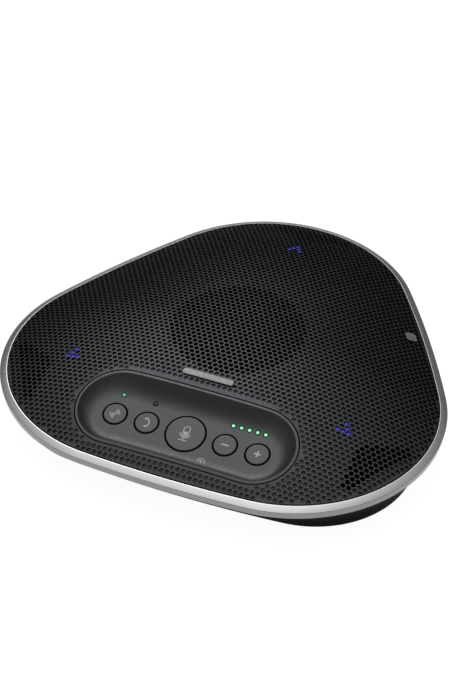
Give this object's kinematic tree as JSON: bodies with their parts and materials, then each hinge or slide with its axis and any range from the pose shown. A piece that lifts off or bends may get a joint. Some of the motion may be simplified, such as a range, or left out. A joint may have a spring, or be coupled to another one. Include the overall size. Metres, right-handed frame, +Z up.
{
  "type": "conference speakerphone",
  "caption": "Low rounded-triangle table-top speakerphone with a domed dimpled grille, brushed metal rim, sunk control panel with round press buttons, and tapered lower case.",
  "frame": {"origin": "on the table, under the middle of the unit's bounding box", "axes": "+Z up out of the top; -Y towards the side with the control panel, which the user faces; +X to that user's right"},
  "size_m": [0.231, 0.2222, 0.044],
  "materials": {
    "black_plastic": "fine-textured satin",
    "grille_black": "satin, perforated",
    "panel_grey": "satin, fine grain",
    "button_grey": "satin",
    "rim_silver": "brushed satin",
    "plate_grey": "satin",
    "green_lens": "clear lens, lit",
    "dark_lens": "clear lens, unlit",
    "blue_lens": "clear light guide, lit",
    "black_cloth": "acoustic weave",
    "black_rubber": "matte",
    "cone_paper": "pressed paper",
    "steel": "satin",
    "copper": "enamelled winding",
    "board_green": "solder mask"
  },
  "bodies": {
    "housing": {"lower_case": "black_plastic", "inner_frame": "black_plastic", "speaker_chamber": "black_plastic", "audio_jack": "black_plastic", "dc_jack": "black_plastic", "rim_trim": "rim_silver", "top_grille": "grille_black", "control_panel": "panel_grey", "control_board": "board_green", "main_board": "board_green", "name_plate": "plate_grey", "contact_tile": "plate_grey", "pairing_switch": "steel", "call_switch": "steel", "mute_switch": "steel", "volume_down_switch": "steel", "volume_up_switch": "steel", "pairing_led_lens": "green_lens", "call_led_lens": "dark_lens", "level_led_lens_1": "green_lens", "level_led_lens_2": "green_lens", "level_led_lens_3": "green_lens", "level_led_lens_4": "green_lens", "level_led_lens_5": "green_lens", "speaker_cloth": "black_cloth", "speaker_spider": "black_cloth", "speaker_gasket": "black_rubber", "speaker_surround": "black_rubber", "speaker_basket": "steel", "speaker_magnet": "steel", "shield_can": "steel", "usb_port": "steel", "antenna_coil": "copper", "speaker_screw_1": "steel", "speaker_screw_2": "steel", "speaker_screw_3": "steel", "speaker_screw_4": "steel", "mic_boot_rear": "black_rubber", "mic_capsule_rear": "steel", "status_light_rear": "blue_lens", "foot_rear": "black_rubber", "case_screw_rear": "steel", "mic_boot_left": "black_rubber", "mic_capsule_left": "steel", "status_light_left": "blue_lens", "foot_left": "black_rubber", "case_screw_left": "steel", "mic_boot_right": "black_rubber", "mic_capsule_right": "steel", "status_light_right": "blue_lens", "foot_right": "black_rubber", "case_screw_right": "steel"},
    "pairing_key": {"pairing_button": "button_grey"},
    "call_key": {"call_button": "button_grey"},
    "mute_key": {"mute_button": "button_grey"},
    "volume_down_key": {"volume_down_button": "button_grey"},
    "volume_up_key": {"volume_up_button": "button_grey"},
    "speaker_driver": {"speaker_cone": "cone_paper", "dust_cap": "cone_paper", "voice_coil": "copper"}
  },
  "joints": [
    {"name": "pairing_press", "type": "slide", "parent": "housing", "child": "pairing_key", "axis": [0, 0.279, -0.9603], "range_m": [0, 0.0008], "stiffness_N_per_m": 800},
    {"name": "call_press", "type": "slide", "parent": "housing", "child": "call_key", "axis": [0, 0.279, -0.9603], "range_m": [0, 0.0008], "stiffness_N_per_m": 800},
    {"name": "mute_press", "type": "slide", "parent": "housing", "child": "mute_key", "axis": [0, 0.279, -0.9603], "range_m": [0, 0.0008], "stiffness_N_per_m": 800},
    {"name": "volume_down_press", "type": "slide", "parent": "housing", "child": "volume_down_key", "axis": [0, 0.279, -0.9603], "range_m": [0, 0.0008], "stiffness_N_per_m": 800},
    {"name": "volume_up_press", "type": "slide", "parent": "housing", "child": "volume_up_key", "axis": [0, 0.279, -0.9603], "range_m": [0, 0.0008], "stiffness_N_per_m": 800},
    {"name": "cone_stroke", "type": "slide", "parent": "housing", "child": "speaker_driver", "axis": [0, 0, 1], "range_m": [-0.0015, 0.0015], "stiffness_N_per_m": 1500, "deforming": ["speaker_surround", "speaker_spider"]}
  ]
}
